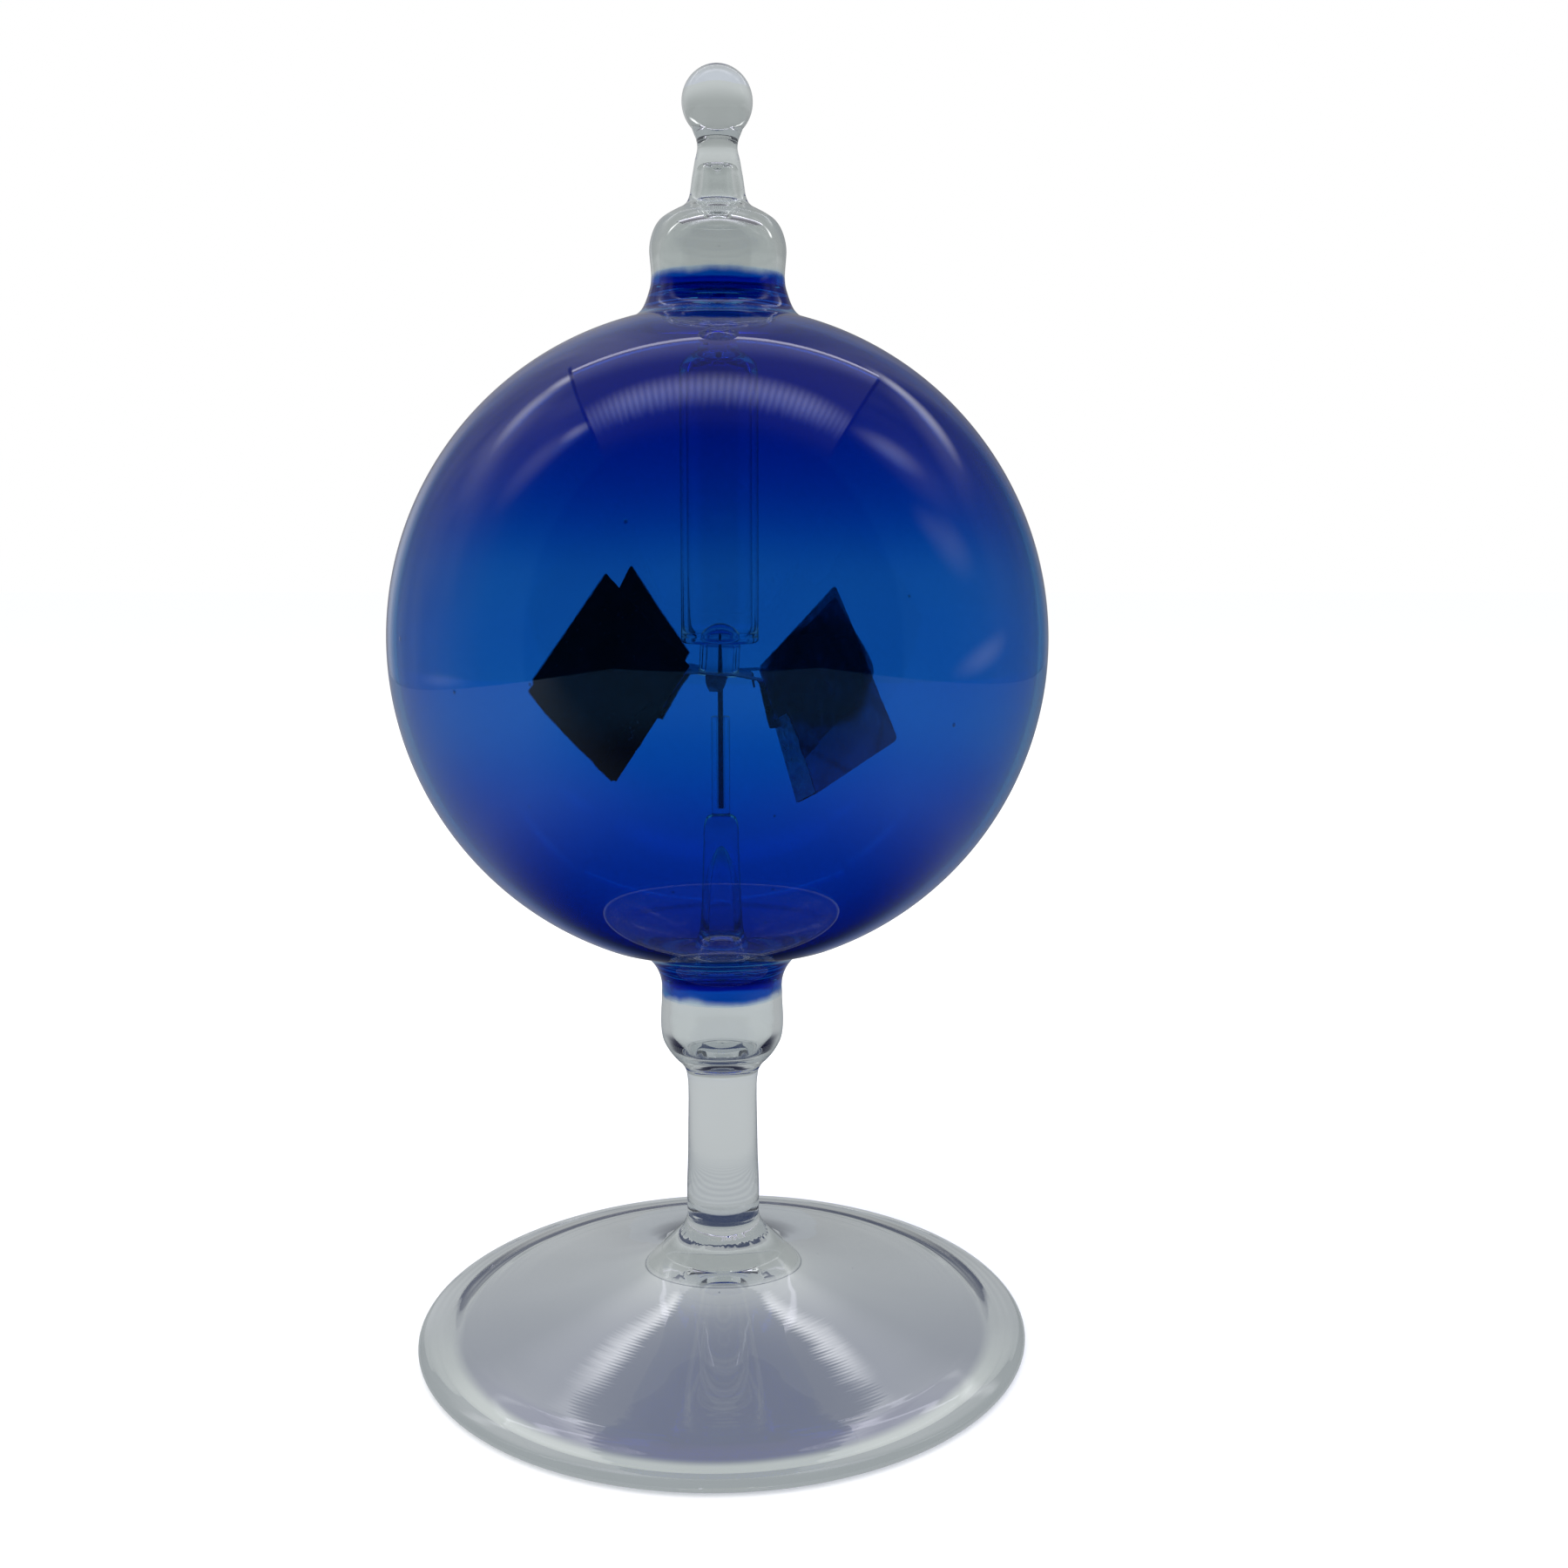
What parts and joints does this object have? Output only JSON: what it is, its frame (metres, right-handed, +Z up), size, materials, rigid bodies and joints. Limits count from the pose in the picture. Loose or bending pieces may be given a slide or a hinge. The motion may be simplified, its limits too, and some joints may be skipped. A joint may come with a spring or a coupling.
{
  "type": "radiometer",
  "caption": "Light mill: black and silvery vanes on a needle inside an evacuated blue glass bulb, on a clear stem and round foot.",
  "frame": {"origin": "centre of the plane the foot rests on, on the axis of the bulb and stem", "axes": "+Z up along the stem and bulb axis towards the ball finial; -Y towards the usual viewer; +X to that viewer's right"},
  "size_m": [0.08, 0.08, 0.1568],
  "materials": {
    "clear_glass": "clear lamp-worked soda glass, flame-polished",
    "blue_glass": "cobalt blue blown glass, thin wall, glossy",
    "cup_glass": "clear glass, round-ended tube, flame-polished",
    "needle_steel": "polished darkened needle steel",
    "spider_aluminium": "thin bright aluminium stamping, hand-folded",
    "mica": "thin cleaved mica sheet, pearly, slightly see-through",
    "lampblack": "soot, dead matt black with faint speckle"
  },
  "bodies": {
    "stand": {"foot": "clear_glass", "foot_boss": "clear_glass", "stem": "clear_glass", "lower_knop": "clear_glass", "upper_knop": "clear_glass", "finial": "clear_glass", "finial_ball": "clear_glass", "retainer_tube": "clear_glass", "support_tube": "clear_glass", "needle_sleeve": "clear_glass", "bulb": "blue_glass", "needle": "needle_steel"},
    "rotor": {"bearing_cup": "cup_glass", "spider": "spider_aluminium", "vane_1": "mica", "vane_2": "mica", "vane_3": "mica", "vane_4": "mica", "vane_1_lampblack": "lampblack", "vane_2_lampblack": "lampblack", "vane_3_lampblack": "lampblack", "vane_4_lampblack": "lampblack"}
  },
  "joints": [
    {"name": "rotor_spin", "type": "hinge", "parent": "stand", "child": "rotor", "pos_m": [0, 0, 0.09012], "axis": [0, 0, 1], "continuous": true}
  ]
}
